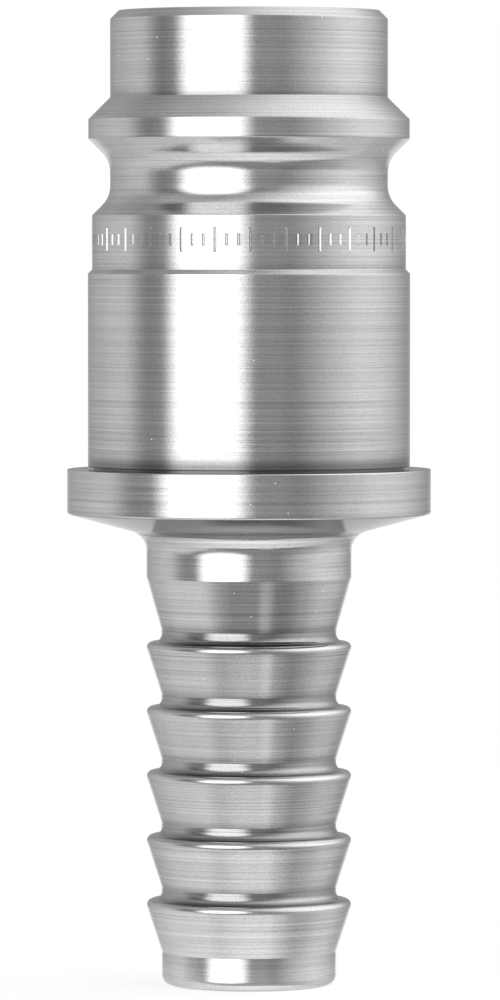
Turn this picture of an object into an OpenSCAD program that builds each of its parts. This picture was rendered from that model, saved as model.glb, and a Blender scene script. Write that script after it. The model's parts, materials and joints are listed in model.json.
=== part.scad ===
// Plug of a quick air coupling, turned from one steel bar: nose, locking collar and groove, marking
// band, guide body, flange and barbed hose tail, with a stepped flow bore right through.
// It stands on its tail end, with the axis along Z and the nose up. Sizes are in millimetres.

/* [Nose] */
// Diameter of the nose, which the seal in the socket grips
nose_d = 14.9; // [14.2:0.05:15.4]
// Length of the nose's cylinder, with its chamfer
nose_len = 4.65; // [3.5:0.05:6.5]
// Chamfer round the front face
nose_chamfer = 0.45; // [0.2:0.05:0.8]

/* [Locking collar and groove] */
// Diameter of the collar that the socket's locking balls hold behind
collar_d = 17.25; // [16.4:0.05:17.3]
// Width of the collar's cylindrical crest
collar_len = 1.05; // [0.6:0.05:1.6]
// Diameter at the bottom of the locking groove
groove_d = 14.9; // [14.2:0.05:15.4]
// Width of the groove between the feet of its two flanks
groove_width = 1.95; // [1.4:0.05:3]
// Radius where each flank runs into the bottom of the groove
groove_fillet = 1.45; // [0.5:0.05:1.8]
// Angle of the flanks and cones beside the collar, from the axis
flank_angle = 45; // [38:1:52]

/* [Guide body] */
// Diameter of the guide body, a sliding fit in the socket's mouth
body_d = 17.3; // [17.3:0.05:18.2]
// Length of the guide body's cylinder
body_len = 10.5; // [8:0.1:14]
// Diameter of the marking band
band_d = 16.85; // [16.2:0.05:17.2]
// Width of the marking band
band_len = 2.9; // [2:0.05:4]

/* [Flange] */
// Diameter of the flange, which stops the plug and the hose
flange_d = 19.55; // [18.6:0.05:22]
// Thickness of the flange at its rim
flange_len = 2.4; // [1.5:0.05:4]
// Radius on the rim's lower edge
flange_edge = 0.12; // [0.05:0.01:0.3]
// Radius on the rim's upper edge
rim_edge = 0.05; // [0.02:0.01:0.3]
// Slope of the flange's underside, from square to the axis
flange_slope = 15; // [0:1:30]

/* [Hose tail] */
// Diameter over the barbs and of the neck, for a hose of 10 mm bore
barb_d = 11; // [10.8:0.05:12]
// Diameter between the barbs and of the end land
root_d = 9.4; // [9:0.05:9.6]
// Number of barbs below the neck
barb_count = 5; // [2:1:8]
// Slope of each barb, from the axis
barb_angle = 18; // [14:1:24]
// Length of the plain root between one barb and the next
barb_land = 0.6; // [0.4:0.05:1.5]
// Radius of each barb's crest
barb_crest = 0.35; // [0.1:0.05:0.45]
// Radius in each barb's root
barb_root = 0.3; // [0.1:0.05:0.35]
// Length of the neck, from the top of its cone to the flange
neck_len = 2.3; // [1.5:0.05:5]
// Slope of the neck's cone, from the axis
neck_angle = 16; // [12:1:24]
// Radius from the neck into the underside of the flange
neck_fillet = 1.15; // [0.3:0.05:1.4]
// Length of the plain land at the tail end
end_land = 1.8; // [1:0.05:4]
// Radius round the tail end
end_round = 0.5; // [0.2:0.05:0.6]

/* [Flow bore] */
// Diameter of the bore in the nose and the guide body
nose_bore_d = 10.4; // [9:0.1:11.6]
// Depth of that bore, from the front face to the step
nose_bore_depth = 24; // [12:0.5:26]
// Diameter of the bore through the hose tail
tail_bore_d = 7; // [5:0.1:7.4]
// Angle of the step between the two bores, from the axis
bore_step_angle = 59; // [30:1:80]
// Chamfer at both mouths of the bore
mouth_chamfer = 0.25; // [0.1:0.05:0.35]

/* [Hidden] */

// Radii of the turned steps
nose_r = nose_d / 2;
collar_r = collar_d / 2;
groove_r = groove_d / 2;
body_r = body_d / 2;
band_r = band_d / 2;
flange_r = flange_d / 2;
barb_r = barb_d / 2;
root_r = root_d / 2;
nose_bore_r = nose_bore_d / 2;
tail_bore_r = tail_bore_d / 2;

// A barb's corner before its crest is rounded down to the barb diameter
crest_corner_r = barb_r + barb_crest * (tan(45 + barb_angle / 2) - 1);
barb_cone_len = (crest_corner_r - root_r) / tan(barb_angle);
barb_pitch = barb_cone_len + barb_land;

// Heights above the tail end
neck_cone_z = end_land + barb_count * barb_pitch;
neck_z = neck_cone_z + (barb_r - root_r) / tan(neck_angle);
flange_root_z = neck_z + neck_len;
flange_z = flange_root_z + (flange_r - barb_r) * tan(flange_slope);
body_z = flange_z + flange_len;
step_z = body_z + body_len;
band_z = step_z + body_r - band_r;
band_top_z = band_z + band_len;
groove_z = band_top_z + (band_r - groove_r) / tan(flank_angle);
groove_top_z = groove_z + groove_width;
collar_z = groove_top_z + (collar_r - groove_r) / tan(flank_angle);
collar_top_z = collar_z + collar_len;
nose_z = collar_top_z + (collar_r - nose_r) / tan(flank_angle);
front_z = nose_z + nose_len;
bore_step_z = front_z - nose_bore_depth;
bore_step_len = (nose_bore_r - tail_bore_r) / tan(bore_step_angle);

// Straight pieces that stand for each rounded corner
arc_steps = 6;
// Pieces round the axis
turn_steps = 120;
// How far the bore's cutter stands past each end face
cut_past = 1;

function unit(v) = v / norm(v);

function turned(v, angle) = [
    v.x * cos(angle) - v.y * sin(angle),
    v.x * sin(angle) + v.y * cos(angle)
];

// Arc of radius r that rounds the corner p on the way from a to b
function corner_arc(a, p, b, r) =
    let (u = unit(a - p), v = unit(b - p))
    let (half = acos(u * v) / 2)
    let (centre = p + unit(u + v) * r / sin(half))
    let (first = p + u * r / tan(half) - centre)
    let (sweep = (180 - 2 * half) * sign(cross(v, u)))
    [for (i = [0 : arc_steps]) centre + turned(first, sweep * i / arc_steps)];

function place(corner) = [corner[0], corner[1]];

// Outline through corners given as [radius, height, rounding]
function outline(corners) = [
    for (i = [0 : len(corners) - 1])
        let (before = corners[(i + len(corners) - 1) % len(corners)])
        let (after = corners[(i + 1) % len(corners)])
        each corners[i][2] > 0
            ? corner_arc(place(before), place(corners[i]), place(after), corners[i][2])
            : [place(corners[i])]
];

// Corners of the barb whose cone starts at height z: foot of the cone, crest, root above it
function barb(z) = [
    [root_r, z, 0],
    [crest_corner_r, z + barb_cone_len, barb_crest],
    [root_r, z + barb_cone_len, barb_root]
];

// Hose tail, from the centre of its end face up to the flange
function tail_corners() = concat(
    [[0, 0, 0], [root_r, 0, end_round]],
    [for (k = [0 : barb_count - 1]) each barb(end_land + k * barb_pitch)],
    [[root_r, neck_cone_z, 0], [barb_r, neck_z, 0], [barb_r, flange_root_z, neck_fillet]]
);

// Flange, guide body and marking band
function body_corners() = [
    [flange_r, flange_z, flange_edge],
    [flange_r, body_z, rim_edge],
    [body_r, body_z, 0],
    [body_r, step_z, 0],
    [band_r, band_z, 0],
    [band_r, band_top_z, 0]
];

// Locking groove, collar and nose, up to the centre of the front face
function head_corners() = [
    [groove_r, groove_z, groove_fillet],
    [groove_r, groove_top_z, groove_fillet],
    [collar_r, collar_z, 0],
    [collar_r, collar_top_z, 0],
    [nose_r, nose_z, 0],
    [nose_r, front_z - nose_chamfer, 0],
    [nose_r - nose_chamfer, front_z, 0],
    [0, front_z, 0]
];

module turned_outside() {
    rotate_extrude($fn = turn_steps)
        polygon(outline(concat(tail_corners(), body_corners(), head_corners())));
}

module flow_bore() {
    flare = mouth_chamfer + cut_past;
    rotate_extrude($fn = turn_steps)
        polygon([
            [0, -cut_past],
            [tail_bore_r + flare, -cut_past],
            [tail_bore_r, mouth_chamfer],
            [tail_bore_r, bore_step_z - bore_step_len],
            [nose_bore_r, bore_step_z],
            [nose_bore_r, front_z - mouth_chamfer],
            [nose_bore_r + flare, front_z + cut_past],
            [0, front_z + cut_past]
        ]);
}

module plug() {
    color("silver")
        difference() {
            turned_outside();
            flow_bore();
        }
}

plug();
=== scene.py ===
"""Looks of the air coupler plug: one piece turned from bright steel, on a pale floor in a soft studio."""

import json
import logging
import math
from dataclasses import dataclass
from enum import Enum
from functools import cached_property

import bpy
from mathutils import Matrix, Vector


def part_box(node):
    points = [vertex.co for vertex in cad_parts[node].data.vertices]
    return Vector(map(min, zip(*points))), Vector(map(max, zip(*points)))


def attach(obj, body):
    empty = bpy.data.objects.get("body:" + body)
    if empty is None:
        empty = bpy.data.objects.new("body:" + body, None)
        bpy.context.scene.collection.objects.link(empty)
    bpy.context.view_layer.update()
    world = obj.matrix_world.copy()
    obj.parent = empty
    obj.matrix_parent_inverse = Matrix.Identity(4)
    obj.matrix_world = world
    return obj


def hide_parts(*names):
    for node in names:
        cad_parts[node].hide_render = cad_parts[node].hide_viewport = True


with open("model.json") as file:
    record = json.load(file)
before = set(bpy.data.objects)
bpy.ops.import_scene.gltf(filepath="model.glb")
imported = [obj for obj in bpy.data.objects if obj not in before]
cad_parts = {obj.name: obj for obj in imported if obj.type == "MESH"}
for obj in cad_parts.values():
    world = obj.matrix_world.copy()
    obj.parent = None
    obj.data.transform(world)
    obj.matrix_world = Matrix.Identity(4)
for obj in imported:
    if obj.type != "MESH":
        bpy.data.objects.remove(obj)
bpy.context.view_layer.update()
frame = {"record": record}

LOG = logging.getLogger("plug")
MM = 0.001
PHOTO_WIDTH_PX = 500
PHOTO_HEIGHT_PX = 1000

# Points of the mesh that lie closer together than this are one
MERGE_GAP = 0.0005 * MM
# A noise's values lie mostly between the low and the high one, about the middle
NOISE_LOW = 0.3
NOISE_MIDDLE = 0.5
NOISE_HIGH = 0.7

Socket = bpy.types.NodeSocket
Value = Socket | float


class Fade(Enum):
    """How a ramp runs between its two ends."""

    SMOOTH = "SMOOTHSTEP"
    STRAIGHT = "LINEAR"


class Surface(Enum):
    """The plug's surfaces, by material slot."""

    OUTSIDE = 0
    BORE = 1


def mount(name: str) -> dict:
    """Finds one of the part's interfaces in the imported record.

    Args:
        name: the interface's name.

    Returns:
        Its entry, with pos_m and dims.
    """
    return next(m for m in frame["record"]["mounts"] if m["name"] == name)


def mount_radius(name: str) -> float:
    """Radius of a round interface, in metres."""
    return mount(name)["dims"]["r_mm"] * MM


def mount_span(name: str) -> tuple[float, float]:
    """Lowest and highest point of a round interface's wall.

    Args:
        name: the interface's name.

    Returns:
        The two heights in metres.
    """
    entry = mount(name)
    middle = entry["pos_m"][2]
    half = entry["dims"]["length_mm"] * MM / 2
    return middle - half, middle + half


def deselect_all() -> None:
    """Leaves nothing selected, because operators act on all that is."""
    if bpy.context.object is not None and bpy.context.object.mode != "OBJECT":
        bpy.ops.object.mode_set(mode="OBJECT")
    bpy.ops.object.select_all(action="DESELECT")


def grey(level: float) -> tuple[float, float, float, float]:
    """Opaque grey of one level, from black at 0 to white at 1."""
    return level, level, level, 1.0


@dataclass
class NodeBench:
    """Adds and joins nodes in one shader tree."""

    tree: bpy.types.NodeTree

    def add(self, kind: str, **settings: object) -> bpy.types.Node:
        """Adds a node and sets its properties.

        Args:
            kind: the node's type name.
            settings: properties of the node by name.

        Returns:
            The new node.
        """
        node = self.tree.nodes.new(kind)
        for name, value in settings.items():
            setattr(node, name, value)
        return node

    def feed(self, socket: Socket, value: Value) -> None:
        """Links another socket into this one, or sets its constant.

        Args:
            socket: the input to feed.
            value: an output socket or a constant.
        """
        if isinstance(value, Socket):
            self.tree.links.new(value, socket)
        else:
            socket.default_value = value

    def math(self, operation: str, *values: Value) -> Socket:
        """Works out one arithmetic step.

        Args:
            operation: the Math node's operation.
            values: its one to three operands.

        Returns:
            The result's socket.
        """
        node = self.add("ShaderNodeMath", operation=operation)
        for socket, value in zip(node.inputs, values):
            self.feed(socket, value)
        return node.outputs[0]

    def mix(self, share: Value, first: Value, second: Value) -> Socket:
        """Fades from one value to another.

        Args:
            share: 0 gives the first, 1 the second.
            first: one value.
            second: the other value.

        Returns:
            The mixed value's socket.
        """
        change = self.math("MULTIPLY", self.math("SUBTRACT", second, first), share)
        return self.math("ADD", first, change)

    def mix_shaders(self, share: Value, first: Socket, second: Socket) -> Socket:
        """Fades from one shader to another.

        Args:
            share: 0 gives the first, 1 the second.
            first: one shader.
            second: the other shader.

        Returns:
            The mixed shader's socket.
        """
        node = self.add("ShaderNodeMixShader")
        for socket, value in zip(node.inputs, (share, first, second)):
            self.feed(socket, value)
        return node.outputs[0]

    def swing(self, noise: Socket, amount: float) -> Socket:
        """Noise centred on zero, with its full range worth the amount."""
        return self.math("MULTIPLY", self.math("SUBTRACT", noise, NOISE_MIDDLE), amount)

    def ramp(self, value: Value, start: float, end: float, low: float = 0.0, high: float = 1.0,
             fade: Fade = Fade.SMOOTH) -> Socket:
        """Turns a range of values into another, held at both ends.

        Args:
            value: the value that is read.
            start: input at which the result is low.
            end: input at which the result is high.
            low: result at start.
            high: result at end.
            fade: how it runs in between.

        Returns:
            The result's socket.
        """
        node = self.add("ShaderNodeMapRange", interpolation_type=fade.value)
        self.feed(node.inputs["Value"], value)
        for name, number in (("From Min", start), ("From Max", end), ("To Min", low), ("To Max", high)):
            node.inputs[name].default_value = number
        return node.outputs[0]

    def combine(self, x: Value, y: Value, z: Value) -> Socket:
        """Joins three numbers into a vector.

        Args:
            x: first part.
            y: second part.
            z: third part.

        Returns:
            The vector's socket.
        """
        node = self.add("ShaderNodeCombineXYZ")
        for socket, value in zip(node.inputs, (x, y, z)):
            self.feed(socket, value)
        return node.outputs[0]

    def split(self, vector: Socket) -> tuple[Socket, Socket, Socket]:
        """Takes a vector apart.

        Args:
            vector: the vector's socket.

        Returns:
            Its three parts.
        """
        node = self.add("ShaderNodeSeparateXYZ")
        self.feed(node.inputs[0], vector)
        return tuple(node.outputs)

    def measured(self, vector: Socket, size: float) -> Socket:
        """Counts a vector in steps of one size.

        Args:
            vector: the vector's socket.
            size: length of a step, in metres.

        Returns:
            The scaled vector's socket.
        """
        node = self.add("ShaderNodeVectorMath", operation="SCALE")
        self.feed(node.inputs[0], vector)
        node.inputs["Scale"].default_value = 1.0 / size
        return node.outputs[0]

    def noise(self, vector: Socket, detail: float) -> Socket:
        """Smooth noise over a vector that is already scaled.

        Args:
            vector: where the noise is read.
            detail: octaves.

        Returns:
            The noise's value, about 0 to 1.
        """
        node = self.add("ShaderNodeTexNoise", noise_dimensions="3D")
        self.feed(node.inputs["Vector"], vector)
        node.inputs["Scale"].default_value = 1.0
        node.inputs["Detail"].default_value = detail
        return node.outputs["Fac"]

    def bump(self, height: Socket) -> Socket:
        """Tilts the surface as a relief does.

        Args:
            height: the relief, in millimetres.

        Returns:
            The normal's socket.
        """
        node = self.add("ShaderNodeBump")
        node.inputs["Distance"].default_value = MM
        self.feed(node.inputs["Height"], height)
        return node.outputs["Normal"]


@dataclass
class Spot:
    """Sockets that tell where a point of a turned piece lies, in metres."""

    bench: NodeBench

    def __post_init__(self) -> None:
        """Reads the point's coordinates."""
        self.place = self.bench.add("ShaderNodeTexCoord").outputs["Object"]
        self.x, self.y, self.height = self.bench.split(self.place)

    @cached_property
    def radius(self) -> Socket:
        """Distance from the axis."""
        squares = (self.bench.math("MULTIPLY", part, part) for part in (self.x, self.y))
        return self.bench.math("SQRT", self.bench.math("ADD", *squares))

    def noise(self, size: float, detail: float) -> Socket:
        """Noise with grains of one size in all directions."""
        return self.bench.noise(self.bench.measured(self.place, size), detail)


def new_material(name: str) -> tuple[bpy.types.Material, NodeBench, bpy.types.Node]:
    """Starts a material.

    Args:
        name: the material's name.

    Returns:
        The material, the bench for its nodes and its shader.
    """
    material = bpy.data.materials.new(name)
    material.use_nodes = True
    return material, NodeBench(material.node_tree), material.node_tree.nodes["Principled BSDF"]


@dataclass(frozen=True)
class ShadeReach:
    """Painted shade beside a shoulder: how dark the colour is made there, and the length over which that
    clears.

    The shade is what is left of the brightness.
    """

    length: float
    shade: float


@dataclass(frozen=True)
class PaintedCornerShade:
    """A stretch beside a shoulder or under the flange whose colour is darkened: painted shade in the corner.

    The colour is darkest from the root up to the foot and clears above it. Heights are in metres.
    """

    root: float
    foot: float
    shade_reach: ShadeReach


@dataclass(frozen=True)
class TurnedSteel:
    """Bright steel as the lathe leaves it: straight fine rings round the axis that fade in and out.

    Lengths are in metres and lie along the turned outline. Rings come in two layers that swap places over the
    swap length, and a layer's number picks one set of rings out of many.
    """

    # Stretches whose colour is darkened as painted shade, beside shoulders and under the flange
    painted_corner_shades: tuple[PaintedCornerShade, ...] = ()
    name: str = "turned_steel"
    colour: float = 0.57
    edge_tint: float = 0.88
    roughness: float = 0.13
    roughness_swing: float = 0.03
    line_pitch: float = 0.12 * MM
    line_detail: float = 1.0
    line_layers: tuple[float, float] = (3.1, 46.8)
    line_contrast: float = 0.75
    line_depth: float = 0.0006 * MM
    score_pitch: float = 0.75 * MM
    score_detail: float = 3.0
    score_layers: tuple[float, float] = (19.1, 62.8)
    score_width: float = 0.012
    score_shade: float = 0.2
    swap_length: float = 9.0 * MM
    swap_detail: float = 0.0
    swap_start: float = 0.35
    swap_end: float = 0.65
    grain_size: float = 0.07 * MM
    grain_detail: float = 1.0
    grain_contrast: float = 0.5
    grain_depth: float = 0.0016 * MM
    cloud_size: float = 4.0 * MM
    cloud_detail: float = 2.0
    cloud_contrast: float = 0.1
    speck_spacing: float = 1.0 * MM
    speck_radius: float = 0.045 * MM
    speck_core: float = 0.5
    speck_roughness: float = 0.6

    def rings(self, spot: Spot, pitch: float, layer: float, detail: float) -> Socket:
        """Rings that run straight round the axis.

        Args:
            spot: the point on the piece.
            pitch: length of one ring along the outline.
            layer: number of the set of rings.
            detail: octaves of the noise.

        Returns:
            Value of the rings, about 0 to 1.
        """
        bench = spot.bench
        along = bench.math("DIVIDE", spot.height, pitch)
        out = bench.math("DIVIDE", spot.radius, pitch)
        return bench.noise(bench.combine(out, layer, along), detail)

    def lines(self, spot: Spot, layer: float) -> Socket:
        """Fine rings that the feed of the tool leaves, as a value of about 0 to 1."""
        return self.rings(spot, self.line_pitch, layer, self.line_detail)

    def scores(self, spot: Spot, layer: float) -> Socket:
        """Deeper single rings, where the tool tip dragged.

        Args:
            spot: the point on the piece.
            layer: number of the set of rings.

        Returns:
            1 on a score and 0 off it.
        """
        wave = self.rings(spot, self.score_pitch, layer, self.score_detail)
        off = spot.bench.math("ABSOLUTE", spot.bench.math("SUBTRACT", wave, NOISE_MIDDLE))
        return spot.bench.ramp(off, 0.0, self.score_width, 1.0, 0.0)

    def specks(self, spot: Spot) -> Socket:
        """Sparse bright specks of dust.

        Args:
            spot: the point on the piece.

        Returns:
            1 in a speck and 0 elsewhere.
        """
        dots = spot.bench.add("ShaderNodeTexVoronoi", feature="F1")
        spot.bench.feed(dots.inputs["Vector"], spot.bench.measured(spot.place, self.speck_spacing))
        dots.inputs["Scale"].default_value = 1.0
        radius = self.speck_radius / self.speck_spacing
        return spot.bench.ramp(dots.outputs["Distance"], radius * self.speck_core, radius, 1.0, 0.0)

    def painted_shade_factor(self, spot: Spot) -> Value:
        """Painted shade: darkens the colour beside shoulders and under the flange.

        Args:
            spot: the point on the piece.

        Returns:
            Factor on the brightness.
        """
        bench = spot.bench
        factor: Value = 1.0
        for mark in self.painted_corner_shades:
            clear = mark.foot + mark.shade_reach.length
            fade = bench.ramp(spot.height, mark.foot, clear, 1.0 - mark.shade_reach.shade, 0.0)
            above = bench.math("GREATER_THAN", spot.height, mark.root)
            here = bench.math("SUBTRACT", 1.0, bench.math("MULTIPLY", fade, above))
            factor = bench.math("MULTIPLY", here, factor)
        return factor

    def brightness(self, spot: Spot, fine: Socket, scored: Socket, grain: Socket, speck: Socket) -> Socket:
        """How much light the steel gives back, with painted shade beside shoulders and under the flange.

        Args:
            spot: the point on the piece.
            fine: value of the fine rings.
            scored: 1 on a score.
            grain: value of the grain.
            speck: 1 in a speck.

        Returns:
            The brightness, 0 to 1.
        """
        bench = spot.bench
        bright = bench.math("ADD", 1.0, bench.swing(fine, self.line_contrast))
        bright = bench.math("ADD", bright, bench.swing(grain, self.grain_contrast))
        bright = bench.math("SUBTRACT", bright, bench.math("MULTIPLY", scored, self.score_shade))
        # Painted shade: the colour is darkened beside shoulders and under the flange
        bright = bench.math("MULTIPLY", bright, self.painted_shade_factor(spot))
        cloud = bench.swing(spot.noise(self.cloud_size, self.cloud_detail), self.cloud_contrast)
        bright = bench.math("MULTIPLY", bright, bench.math("ADD", cloud, self.colour))
        return bench.math("ADD", bright, bench.math("MULTIPLY", speck, 1.0 - self.colour))

    def relief(self, bench: NodeBench, fine: Socket, grain: Socket) -> Socket:
        """Height of the fine rings and the grain.

        Args:
            bench: the material's nodes.
            fine: value of the fine rings.
            grain: value of the grain.

        Returns:
            The height in millimetres.
        """
        ridges = bench.math("MULTIPLY", fine, self.line_depth / MM)
        return bench.math("ADD", ridges, bench.math("MULTIPLY", grain, self.grain_depth / MM))

    def build(self) -> bpy.types.Material:
        """Makes the material.

        Returns:
            The finished material.
        """
        material, bench, shader = new_material(self.name)
        spot = Spot(bench)
        swap = bench.ramp(spot.noise(self.swap_length, self.swap_detail), self.swap_start, self.swap_end)
        fine = bench.mix(swap, *(self.lines(spot, layer) for layer in self.line_layers))
        scored = bench.mix(swap, *(self.scores(spot, layer) for layer in self.score_layers))
        grain = spot.noise(self.grain_size, self.grain_detail)
        speck = self.specks(spot)

        bright = self.brightness(spot, fine, scored, grain, speck)
        bench.feed(shader.inputs["Base Color"], bench.combine(bright, bright, bright))
        bench.feed(shader.inputs["Normal"], bench.bump(self.relief(bench, fine, grain)))
        smoothest = self.roughness - self.roughness_swing
        roughest = self.roughness + self.roughness_swing
        rough = bench.ramp(fine, NOISE_LOW, NOISE_HIGH, smoothest, roughest, Fade.STRAIGHT)
        dust = bench.math("MULTIPLY", speck, self.speck_roughness)
        bench.feed(shader.inputs["Roughness"], bench.math("ADD", rough, dust))
        shader.inputs["Metallic"].default_value = 1.0
        shader.inputs["Specular Tint"].default_value = grey(self.edge_tint)
        return material


@dataclass(frozen=True)
class BoredSteel:
    """The same steel inside the flow bore, duller than the outside and marked by the drill.

    Lengths are in metres. A ring wanders along the bore over the wander length.
    """

    name: str = "bored_steel"
    colour: tuple[float, float, float] = (0.46, 0.46, 0.455)
    roughness: float = 0.42
    roughness_swing: float = 0.06
    ring_pitch: float = 0.3 * MM
    ring_detail: float = 3.0
    ring_depth: float = 0.004 * MM
    wander_length: float = 6.0 * MM

    def rings(self, spot: Spot) -> Socket:
        """Rings that the drill left.

        Args:
            spot: the point on the piece.

        Returns:
            Value of the rings, about 0 to 1.
        """
        bench = spot.bench
        aside, back = (bench.math("DIVIDE", part, self.wander_length) for part in (spot.x, spot.y))
        along = bench.math("DIVIDE", spot.height, self.ring_pitch)
        return bench.noise(bench.combine(aside, back, along), self.ring_detail)

    def build(self) -> bpy.types.Material:
        """Makes the material.

        Returns:
            The finished material.
        """
        material, bench, shader = new_material(self.name)
        rings = self.rings(Spot(bench))
        depth = bench.math("MULTIPLY", rings, self.ring_depth / MM)
        bench.feed(shader.inputs["Normal"], bench.bump(depth))
        smoothest = self.roughness - self.roughness_swing
        roughest = self.roughness + self.roughness_swing
        rough = bench.ramp(rings, NOISE_LOW, NOISE_HIGH, smoothest, roughest, Fade.STRAIGHT)
        bench.feed(shader.inputs["Roughness"], rough)
        shader.inputs["Metallic"].default_value = 1.0
        shader.inputs["Base Color"].default_value = (*self.colour, 1.0)
        return material


@dataclass(frozen=True)
class Corner:
    """A corner of the turned outline: distance from the axis, height, and the radius that rounds it."""

    r: float
    z: float
    rounding: float = 0.0


class OutlinePen:
    """Draws half of a turned section in the XZ plane, point by point, ready to be spun.

    A long straight stretch gets a point close to each end, so that its shading stays straight too. A rounded
    corner gets the more pieces for its angle, the larger its radius is.
    """

    HOLD = 0.03 * MM
    SHORTEST_HELD = 0.2 * MM
    WIDEST_EDGE = 0.05 * MM
    EDGE_STEP = math.radians(22.5)
    WIDEST_ROUND = 0.5 * MM
    ROUND_STEP = math.radians(15.0)
    SWEEP_STEP = math.radians(9.0)
    FEWEST_STEPS = 2

    def __init__(self, name: str) -> None:
        """Starts a new piece as a single point.

        Args:
            name: the piece's name.
        """
        deselect_all()
        bpy.ops.mesh.primitive_plane_add(size=MM)
        self.piece = bpy.context.object
        self.piece.name = name
        bpy.ops.object.mode_set(mode="EDIT")
        bpy.ops.mesh.merge(type="CENTER")
        self.here = Vector((0.0, 0.0))

    def move(self, r: float, z: float) -> None:
        """Puts the first point in its place."""
        bpy.ops.transform.translate(value=(r - self.here.x, 0.0, z - self.here.y))
        self.here = Vector((r, z))

    def line(self, point: Vector) -> None:
        """Draws a straight stretch.

        Args:
            point: where it ends.
        """
        whole = point - self.here
        hold = whole.normalized() * self.HOLD
        stops = [self.here + hold, point - hold, point] if whole.length > self.SHORTEST_HELD else [point]
        for stop in stops:
            step = stop - self.here
            bpy.ops.mesh.extrude_region_move(TRANSFORM_OT_translate={"value": (step.x, 0.0, step.y)})
            self.here = stop.copy()

    def arc_steps(self, rounding: float, turn: float) -> int:
        """Picks how many straight pieces stand for a rounded corner.

        Args:
            rounding: its radius.
            turn: its angle.

        Returns:
            The number of pieces.
        """
        step = self.SWEEP_STEP if rounding > self.WIDEST_ROUND else self.ROUND_STEP
        if rounding <= self.WIDEST_EDGE:
            step = self.EDGE_STEP
        return max(self.FEWEST_STEPS, math.ceil(turn / step))

    def corner(self, before: Corner, corner: Corner, after: Corner) -> None:
        """Draws up to a corner and round it.

        Args:
            before: the corner that the pen comes from.
            corner: the corner to draw.
            after: the corner that the pen goes to.
        """
        tip = Vector((corner.r, corner.z))
        if corner.rounding <= 0.0:
            self.line(tip)
            return
        back = (Vector((before.r, before.z)) - tip).normalized()
        ahead = (Vector((after.r, after.z)) - tip).normalized()
        half = back.angle(ahead) / 2
        centre = tip + (back + ahead).normalized() * corner.rounding / math.sin(half)
        turn = math.pi - 2 * half
        side = -1.0 if back.x * ahead.y - back.y * ahead.x > 0 else 1.0
        self.line(tip + back * corner.rounding / math.tan(half))
        bpy.ops.mesh.spin(steps=self.arc_steps(corner.rounding, turn), angle=side * turn,
                          center=(centre.x, 0.0, centre.y), axis=(0.0, 1.0, 0.0))
        self.here = tip + ahead * corner.rounding / math.tan(half)

    def draw(self, corners: list[Corner]) -> bpy.types.Object:
        """Draws a closed outline.

        Args:
            corners: its corners in order.

        Returns:
            The piece in edit mode, with the outline as a ring of edges.
        """
        first = corners[0]
        self.move(first.r, first.z)
        ring = len(corners)
        for index in range(1, ring + 1):
            self.corner(corners[index - 1], corners[index % ring], corners[(index + 1) % ring])
        bpy.ops.mesh.select_all(action="SELECT")
        bpy.ops.mesh.remove_doubles(threshold=MERGE_GAP)
        return self.piece


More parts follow.
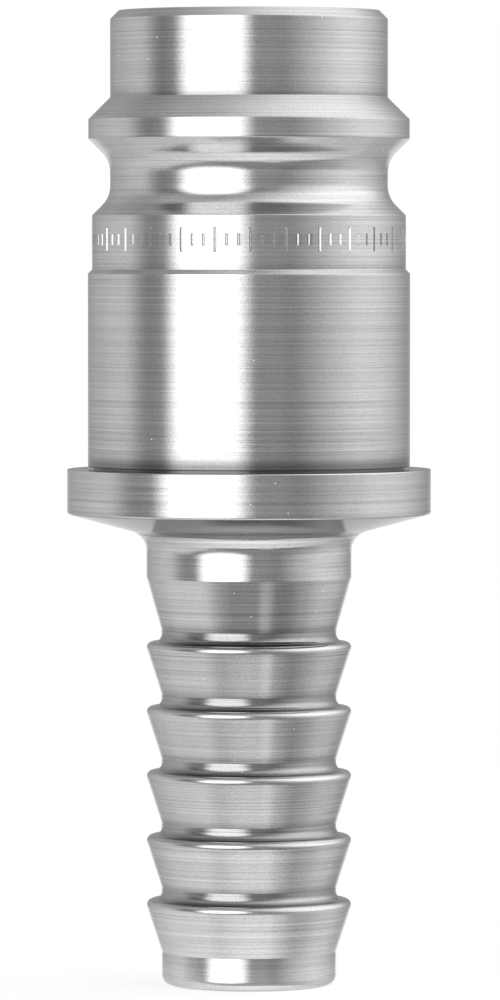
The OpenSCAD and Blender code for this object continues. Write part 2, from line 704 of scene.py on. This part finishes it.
@dataclass
class TurnedPlug:
    """The plug itself: nose, collar, groove, band, body, flange, hose tail and flow bore.

    Lengths are in metres. The end face stands at height zero, and heights grow towards the nose. The edge is
    the radius of all edges that are only broken. The steps round the axis are a multiple of the mark columns
    times the mark group, so that the ring of strokes closes. A face whose normal has a larger share along
    the axis than the steepest wall's is an end face.
    """

    name: str = "coupler_plug"
    edge: float = 0.04 * MM
    steps: int = 336
    smooth_angle: float = math.radians(28.0)
    nose_chamfer: float = 0.45 * MM
    # Painted shade above the nose's foot: how much darker the colour is made and how far that reaches
    nose_painted_shade: ShadeReach = ShadeReach(0.7 * MM, 0.73)
    collar_r: float = 8.625 * MM
    collar_len: float = 1.05 * MM
    groove_r: float = 7.45 * MM
    groove_width: float = 1.95 * MM
    groove_fillet: float = 1.45 * MM
    band_r: float = 8.425 * MM
    band_len: float = 2.9 * MM
    # Painted shade above the step at the foot of the marking band
    band_painted_shade: ShadeReach = ShadeReach(0.9 * MM, 0.86)
    mark_middle: float = 1.6 * MM
    mark_tall: float = 1.3 * MM
    mark_short: float = 0.65 * MM
    mark_wall: float = 0.06 * MM
    mark_depth: float = 0.06 * MM
    mark_columns: int = 4
    mark_group: int = 3
    relief_len: float = 0.13 * MM
    relief_depth: float = 0.3 * MM
    relief_margin: float = 0.004 * MM
    # Painted shade in the relief and on the body just above the flange
    relief_painted_shade: ShadeReach = ShadeReach(1.05 * MM, 0.31)
    flange_len: float = 2.4 * MM
    flange_slope: float = math.radians(15.0)
    flange_edge: float = 0.12 * MM
    rim_edge: float = 0.05 * MM
    rim_margin: float = 0.024 * MM
    # Painted shade on the flange's underside, standing in for a darker reflection of the neck
    rim_painted_shade: ShadeReach = ShadeReach(0.06 * MM, 0.46)
    barb_r: float = 5.5 * MM
    barb_count: int = 5
    barb_angle: float = math.radians(18.0)
    barb_pitch: float = 3.468 * MM
    barb_crest: float = 0.3 * MM
    barb_root: float = 0.4 * MM
    barb_margin: float = 0.02 * MM
    # Painted shade on the root land above each barb's shoulder
    barb_painted_shade: ShadeReach = ShadeReach(0.5 * MM, 0.64)
    neck_angle: float = math.radians(16.0)
    neck_fillet: float = 1.15 * MM
    end_land: float = 1.8 * MM
    end_round: float = 0.5 * MM
    mouth_chamfer: float = 0.25 * MM
    bore_step_angle: float = math.radians(59.0)
    steepest_wall: float = 0.9

    def __post_init__(self) -> None:
        """Takes the sizes that the frame gives."""
        low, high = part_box("plug")
        self.front_z = high.z
        self.flange_r = min(high.x, high.y, -low.x, -low.y)
        self.nose_r = mount_radius("nose_seal")
        self.nose_z = mount_span("nose_seal")[0]
        self.body_r = mount_radius("guide_body")
        self.body_z, self.step_z = mount_span("guide_body")
        self.root_r = mount_radius("hose_pilot")
        self.nose_bore_r = mount_radius("nose_bore")
        self.bore_step_z = mount_span("nose_bore")[0]
        self.tail_bore_r = mount_radius("tail_bore")
        self.rim_z = self.body_z - self.flange_len
        self.band_z = self.step_z + self.body_r - self.band_r

    def tip_r(self) -> float:
        """Radius of a barb's corner before its crest is rounded."""
        return self.barb_r + self.barb_crest * (math.tan(math.pi / 4 + self.barb_angle / 2) - 1)

    def shoulders(self) -> list[float]:
        """Heights of the barbs' shoulders, going up."""
        first = self.end_land + (self.tip_r() - self.root_r) / math.tan(self.barb_angle)
        return [first + number * self.barb_pitch for number in range(self.barb_count)]

    def neck_end(self) -> float:
        """Height where the neck would meet the underside of the flange without its fillet."""
        return self.rim_z - (self.flange_r - self.barb_r) * math.tan(self.flange_slope)

    def tail_corners(self) -> list[Corner]:
        """Lays out the hose tail.

        Returns:
            Its corners, from the end face up to the flange.
        """
        foot = self.end_land
        corners = [Corner(self.root_r, 0.0, self.end_round)]
        for shoulder in self.shoulders():
            corners.append(Corner(self.root_r, foot, self.edge))
            corners.append(Corner(self.tip_r(), shoulder, self.barb_crest))
            corners.append(Corner(self.root_r, shoulder, self.barb_root))
            foot += self.barb_pitch
        neck_z = foot + (self.barb_r - self.root_r) / math.tan(self.neck_angle)
        corners.append(Corner(self.root_r, foot, self.edge))
        corners.append(Corner(self.barb_r, neck_z, self.edge))
        corners.append(Corner(self.barb_r, self.neck_end(), self.neck_fillet))
        corners.append(Corner(self.flange_r, self.rim_z, self.flange_edge))
        return corners

    def mark_heights(self) -> list[float]:
        """Heights at which the tall and the short strokes of the marking band start and end, going up."""
        reaches = (-self.mark_tall / 2, -self.mark_short / 2, self.mark_short / 2, self.mark_tall / 2)
        return [self.band_z + self.mark_middle + reach for reach in reaches]

    def head_corners(self) -> list[Corner]:
        """Lays out the flange, the body, the groove, the collar and the nose.

        Returns:
            Their corners, from the flange's rim up to the front face.
        """
        edge = self.edge
        relief_r = self.body_r - self.relief_depth
        relief_top = self.body_z + self.relief_len
        band_top = self.band_z + self.band_len
        groove_z = band_top + self.band_r - self.groove_r
        groove_top = groove_z + self.groove_width
        collar_z = groove_top + self.collar_r - self.groove_r
        return [
            Corner(self.flange_r, self.body_z, self.rim_edge),
            Corner(relief_r, self.body_z),
            Corner(relief_r, relief_top),
            Corner(self.body_r, relief_top, edge),
            Corner(self.body_r, self.step_z, edge),
            Corner(self.band_r, self.band_z, edge),
            *(Corner(self.band_r, height) for height in self.mark_heights()),
            Corner(self.band_r, band_top, edge),
            Corner(self.groove_r, groove_z, self.groove_fillet),
            Corner(self.groove_r, groove_top, self.groove_fillet),
            Corner(self.collar_r, collar_z, edge),
            Corner(self.collar_r, collar_z + self.collar_len, edge),
            Corner(self.nose_r, self.nose_z, edge),
            Corner(self.nose_r, self.front_z - self.nose_chamfer, edge),
            Corner(self.nose_r - self.nose_chamfer, self.front_z, edge),
        ]

    def bore_corners(self) -> list[Corner]:
        """Lays out the flow bore.

        Returns:
            Its corners, from the front face down to the end face.
        """
        edge = self.edge
        chamfer = self.mouth_chamfer
        step_foot = self.bore_step_z - (self.nose_bore_r - self.tail_bore_r) / math.tan(self.bore_step_angle)
        return [
            Corner(self.nose_bore_r + chamfer, self.front_z, edge),
            Corner(self.nose_bore_r, self.front_z - chamfer, edge),
            Corner(self.nose_bore_r, self.bore_step_z, edge),
            Corner(self.tail_bore_r, step_foot, edge),
            Corner(self.tail_bore_r, chamfer, edge),
            Corner(self.tail_bore_r + chamfer, 0.0, edge),
        ]

    def turn(self) -> bpy.types.Object:
        """Draws the section and spins it round the axis.

        Returns:
            The closed turned piece.
        """
        start = Corner((self.tail_bore_r + self.root_r) / 2, 0.0)
        corners = [start] + self.tail_corners() + self.head_corners() + self.bore_corners()
        piece = OutlinePen(self.name).draw(corners)
        bpy.ops.mesh.spin(steps=self.steps, angle=math.tau, center=(0.0, 0.0, 0.0), axis=(0.0, 0.0, 1.0))
        bpy.ops.mesh.select_all(action="SELECT")
        bpy.ops.mesh.remove_doubles(threshold=MERGE_GAP)
        bpy.ops.mesh.normals_make_consistent(inside=False)
        bpy.ops.object.mode_set(mode="OBJECT")
        return piece

    def stamp(self, piece: bpy.types.Object) -> None:
        """Sinks a plain ring of upright strokes into the marking band.

        A stroke is the first of every few columns of faces, and the first of every few strokes is a tall one.

        Args:
            piece: the turned piece.
        """
        low, short_low, short_high, high = self.mark_heights()
        bpy.ops.object.mode_set(mode="EDIT")
        bpy.ops.mesh.select_mode(type="FACE")
        bpy.ops.mesh.select_all(action="DESELECT")
        bpy.ops.object.mode_set(mode="OBJECT")
        for face in piece.data.polygons:
            centre = face.center
            outside = math.hypot(centre.x, centre.y) > self.band_r - self.edge
            column = int(math.atan2(centre.y, centre.x) % math.tau / math.tau * self.steps)
            stroke, between = divmod(column, self.mark_columns)
            tall = low < centre.z < high and stroke % self.mark_group == 0
            short = short_low < centre.z < short_high
            face.select = outside and between == 0 and (tall or short)
        bpy.ops.object.mode_set(mode="EDIT")
        bpy.ops.mesh.inset(thickness=self.mark_wall, depth=-self.mark_depth)
        bpy.ops.object.mode_set(mode="OBJECT")

    def painted_corner_shades(self) -> tuple[PaintedCornerShade, ...]:
        """Lists the corners whose colour is darkened as painted shade, beside shoulders and under the flange.

        The relief's and the barbs' painted shade starts by its margin under the shoulder, to cover the corner
        too.
        The flange's underside is painted darker from the neck to just short of its rim.

        Returns:
            A painted shade for each.
        """
        shaded_stretches = [
            PaintedCornerShade(self.nose_z, self.nose_z, self.nose_painted_shade),
            PaintedCornerShade(self.step_z, self.step_z, self.band_painted_shade),
            PaintedCornerShade(self.body_z - self.relief_margin, self.body_z + self.relief_len, self.relief_painted_shade),
        ]
        foot = self.end_land
        for shoulder in self.shoulders():
            foot += self.barb_pitch
            shaded_stretches.append(PaintedCornerShade(shoulder - self.barb_margin, foot, self.barb_painted_shade))
        shaded_stretches.append(PaintedCornerShade(self.neck_end(), self.rim_z - self.rim_margin, self.rim_painted_shade))
        return tuple(shaded_stretches)

    def surface(self, face: bpy.types.MeshPolygon) -> Surface:
        """Tells which surface a face is part of.

        Args:
            face: a face of the turned piece.

        Returns:
            The bore for its walls, step and mouth chamfers, and the outside for all else.
        """
        centre, normal = face.center, face.normal
        facing_in = normal.x * centre.x + normal.y * centre.y < 0
        in_mouth = math.hypot(centre.x, centre.y) < self.nose_bore_r + self.mouth_chamfer
        is_wall = abs(normal.z) < self.steepest_wall
        return Surface.BORE if facing_in and in_mouth and is_wall else Surface.OUTSIDE

    def dress(self, piece: bpy.types.Object) -> None:
        """Gives each surface its finish and smooths it.

        Args:
            piece: the turned piece.
        """
        finishes = {Surface.OUTSIDE: TurnedSteel(self.painted_corner_shades()), Surface.BORE: BoredSteel()}
        for surface in Surface:
            piece.data.materials.append(finishes[surface].build())
        for face in piece.data.polygons:
            face.material_index = self.surface(face).value
        bpy.ops.object.shade_smooth_by_angle(angle=self.smooth_angle)

    def build(self) -> bpy.types.Object:
        """Makes the piece and ties it to the frame.

        Returns:
            The finished piece.
        """
        piece = self.turn()
        self.stamp(piece)
        self.dress(piece)
        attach(piece, "root")
        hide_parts("plug")
        LOG.info("%s: %d faces", piece.name, len(piece.data.polygons))
        return piece


@dataclass
class Sky:
    """Sockets that tell where a ray of the surround goes, seen from the part."""

    bench: NodeBench

    def __post_init__(self) -> None:
        """Works out the direction's angles."""
        self.direction = self.bench.add("ShaderNodeTexCoord").outputs["Generated"]
        x, y, z = self.bench.split(self.direction)
        self.azimuth = self.bench.math("ARCTAN2", x, self.bench.math("MULTIPLY", y, -1.0))
        self.elevation = self.bench.math("ARCSINE", z)


@dataclass(frozen=True)
class Card:
    """A card or softbox of the studio, placed by angles seen from the part.

    Azimuth 0 is towards the camera and grows to the right, elevation grows upwards. All angles are in
    degrees, and soft is the width of the soft edge. A half width of more than 180 goes all the way round. A
    power of 2 makes an oval and a high one a rectangle.
    """

    name: str
    azimuth: float
    half_width: float
    elevation: float
    half_height: float
    soft: float
    light: float
    power: float = 8.0

    def mask(self, sky: Sky) -> Socket:
        """How much of the card is seen in each direction.

        Args:
            sky: the surround's directions.

        Returns:
            1 on the card and 0 off it.
        """
        bench = sky.bench
        turned = bench.math("SUBTRACT", sky.azimuth, math.radians(self.azimuth))
        aside = bench.math("ABSOLUTE", bench.math("WRAP", turned, math.pi, -math.pi))
        above = bench.math("ABSOLUTE", bench.math("SUBTRACT", sky.elevation, math.radians(self.elevation)))
        wide = bench.math("POWER", bench.math("DIVIDE", aside, math.radians(self.half_width)), self.power)
        tall = bench.math("POWER", bench.math("DIVIDE", above, math.radians(self.half_height)), self.power)
        out = bench.math("POWER", bench.math("ADD", wide, tall), 1.0 / self.power)
        soft = self.soft / min(self.half_height, self.half_width)
        return bench.ramp(out, 1.0 - soft, 1.0 + soft, 1.0, 0.0)


@dataclass(frozen=True)
class Bank:
    """A broad round bank of light that fades from its middle outwards.

    It is full up to one angle from its middle and gone at another. All angles are in degrees.
    """

    name: str
    azimuth: float
    elevation: float
    full: float
    gone: float
    light: float

    def mask(self, sky: Sky) -> Socket:
        """How much of the bank is seen in each direction.

        Args:
            sky: the surround's directions.

        Returns:
            1 in its middle and 0 beyond it.
        """
        azimuth, elevation = math.radians(self.azimuth), math.radians(self.elevation)
        level = math.cos(elevation)
        middle = (math.sin(azimuth) * level, -math.cos(azimuth) * level, math.sin(elevation))
        dot = sky.bench.add("ShaderNodeVectorMath", operation="DOT_PRODUCT")
        sky.bench.feed(dot.inputs[0], sky.direction)
        dot.inputs[1].default_value = middle
        away = sky.bench.math("ARCCOSINE", sky.bench.math("MINIMUM", dot.outputs["Value"], 1.0))
        return sky.bench.ramp(away, math.radians(self.full), math.radians(self.gone), 1.0, 0.0)


@dataclass(frozen=True)
class PaleFloor:
    """Pale floor, which fades into the backdrop away from the part. Lengths are in metres.

    The steel sees the surround through the floor, and on top of that a faint glow of it close to the foot.
    """

    backdrop: float
    name: str = "floor"
    material_name: str = "pale_floor"
    size: float = 6.0
    colour: float = 0.25
    roughness: float = 0.9
    glow: float = 0.8
    fade_start: float = 80.0 * MM
    fade_end: float = 400.0 * MM
    near_light: float = 0.21
    near_full: float = 5.0 * MM
    near_gone: float = 26.0 * MM

    def seen(self, bench: NodeBench, shader: bpy.types.Node, distance: Socket) -> Socket:
        """The floor as the camera sees it.

        Args:
            bench: the material's nodes.
            shader: the material's own shader.
            distance: how far the point is from the axis.

        Returns:
            The shader's socket.
        """
        shader.inputs["Base Color"].default_value = grey(self.colour)
        shader.inputs["Roughness"].default_value = self.roughness
        shader.inputs["Specular IOR Level"].default_value = 0.0
        shader.inputs["Emission Color"].default_value = grey(1.0)
        shader.inputs["Emission Strength"].default_value = self.glow
        plain = bench.add("ShaderNodeEmission")
        plain.inputs["Strength"].default_value = self.backdrop
        share = bench.ramp(distance, self.fade_start, self.fade_end)
        return bench.mix_shaders(share, shader.outputs[0], plain.outputs[0])

    def mirrored(self, bench: NodeBench, distance: Socket) -> Socket:
        """The floor as the steel sees it.

        Args:
            bench: the material's nodes.
            distance: how far the point is from the axis.

        Returns:
            The shader's socket.
        """
        near = bench.add("ShaderNodeEmission")
        light = bench.ramp(distance, self.near_full, self.near_gone, self.near_light, 0.0)
        bench.feed(near.inputs["Strength"], light)
        through = bench.add("ShaderNodeBsdfTransparent")
        both = bench.add("ShaderNodeAddShader")
        bench.feed(both.inputs[0], near.outputs[0])
        bench.feed(both.inputs[1], through.outputs[0])
        return both.outputs[0]

    def material(self) -> bpy.types.Material:
        """Makes the floor's material.

        Returns:
            The finished material.
        """
        material, bench, shader = new_material(self.material_name)
        length = bench.add("ShaderNodeVectorMath", operation="LENGTH")
        bench.feed(length.inputs[0], bench.add("ShaderNodeTexCoord").outputs["Object"])
        distance = length.outputs["Value"]
        glossy = bench.add("ShaderNodeLightPath").outputs["Is Glossy Ray"]
        whole = bench.mix_shaders(glossy, self.seen(bench, shader, distance), self.mirrored(bench, distance))
        bench.feed(material.node_tree.nodes["Material Output"].inputs["Surface"], whole)
        return material

    def build(self) -> None:
        """Lays the floor."""
        deselect_all()
        bpy.ops.mesh.primitive_plane_add(size=self.size)
        floor = bpy.context.object
        floor.name = self.name
        floor.data.materials.append(self.material())


@dataclass
class Studio:
    """Pale floor, soft surround and camera. Lengths are in metres."""

    surround: float = 0.42
    backdrop: float = 1.0
    # Each light covers the ones before it, and its numbers come in the order of its class's fields
    lights: tuple[Card | Bank, ...] = (
        Card("rear_floor", 180.0, 20.0, -16.0, 13.0, 3.0, 0.98),
        Card("left_wall", -110.0, 42.0, -5.0, 34.0, 17.0, 0.68),
        Card("right_wall", 111.0, 16.0, -39.0, 22.0, 14.0, 0.75),
        Card("ceiling", 0.0, 400.0, 90.0, 53.0, 3.0, 0.56),
        Card("ceiling_gap", -128.0, 26.0, 48.0, 10.0, 8.0, 0.42),
        Card("front_card", 27.0, 55.0, -18.0, 20.0, 1.5, 0.32),
        Card("front_shade", 22.0, 40.0, -5.0, 6.0, 4.0, 0.25),
        Bank("right_bank", 92.0, 40.0, 12.0, 78.0, 1.48),
        Card("bank_top", 92.0, 36.0, 29.0, 20.0, 13.0, 1.68, 2.0),
        Card("floor_left", -83.0, 35.0, -46.0, 44.0, 17.0, 0.95),
        Card("floor_front", 0.0, 400.0, -90.0, 50.5, 3.5, 1.22),
        Card("floor_rear", 180.0, 90.0, -61.0, 38.0, 33.0, 0.75),
        Card("left_flag", -45.0, 44.0, 13.0, 19.0, 5.5, 0.29),
        Card("box_frame", -21.0, 49.0, 2.0, 29.0, 5.5, 0.4, 3.0),
        Card("front_gap", 23.0, 6.5, -41.0, 6.0, 5.5, 1.0),
        Card("front_foot", 48.0, 13.5, -33.0, 2.5, 2.5, 0.24),
        Card("key_softbox", -30.0, 28.7, 11.5, 26.5, 7.5, 2.2, 2.6),
    )
    camera_distance: float = 404.0 * MM
    camera_height: float = 39.8 * MM
    aim_height: float = 26.1 * MM
    focal_px: float = 7518.0
    axis_px: float = 249.0
    sensor_mm: float = 36.0

    def surround_light(self) -> None:
        """Paints the surround that the steel reflects; the camera itself sees plain white."""
        world = bpy.data.worlds.new("studio")
        bpy.context.scene.world = world
        world.use_nodes = True
        bench = NodeBench(world.node_tree)
        sky = Sky(bench)
        light: Value = self.surround
        for source in self.lights:
            gain = bench.math("MULTIPLY", bench.math("SUBTRACT", source.light, light), source.mask(sky))
            light = bench.math("ADD", light, gain)
        ray = bench.add("ShaderNodeLightPath").outputs["Is Camera Ray"]
        seen = bench.math("MULTIPLY", bench.math("SUBTRACT", self.backdrop, light), ray)
        background = world.node_tree.nodes["Background"]
        bench.feed(background.inputs["Strength"], bench.math("ADD", light, seen))
        background.inputs["Color"].default_value = grey(1.0)

    def camera(self) -> None:
        """Stands the camera where the photograph was taken from."""
        data = bpy.data.cameras.new("camera")
        data.sensor_width = self.sensor_mm
        data.lens = self.sensor_mm * self.focal_px / PHOTO_HEIGHT_PX
        camera = bpy.data.objects.new("camera", data)
        bpy.context.scene.collection.objects.link(camera)
        aside = (PHOTO_WIDTH_PX / 2 - self.axis_px) * self.camera_distance / self.focal_px
        place = Vector((aside, -self.camera_distance, self.camera_height))
        aim = Vector((aside, 0.0, self.aim_height))
        turn = (aim - place).to_track_quat("-Z", "Y")
        camera.matrix_world = Matrix.Translation(place) @ turn.to_matrix().to_4x4()
        bpy.context.scene.camera = camera

    def build(self) -> None:
        """Sets up the whole studio."""
        self.surround_light()
        PaleFloor(self.backdrop).build()
        self.camera()
        bpy.context.scene.view_settings.view_transform = "Standard"
        LOG.info("studio: %d lights", len(self.lights))


def main() -> None:
    """Builds the studio and the plug."""
    logging.basicConfig(level=logging.INFO, format="%(name)s %(message)s")
    Studio().build()
    TurnedPlug().build()


if __name__ == "__main__":
    main()
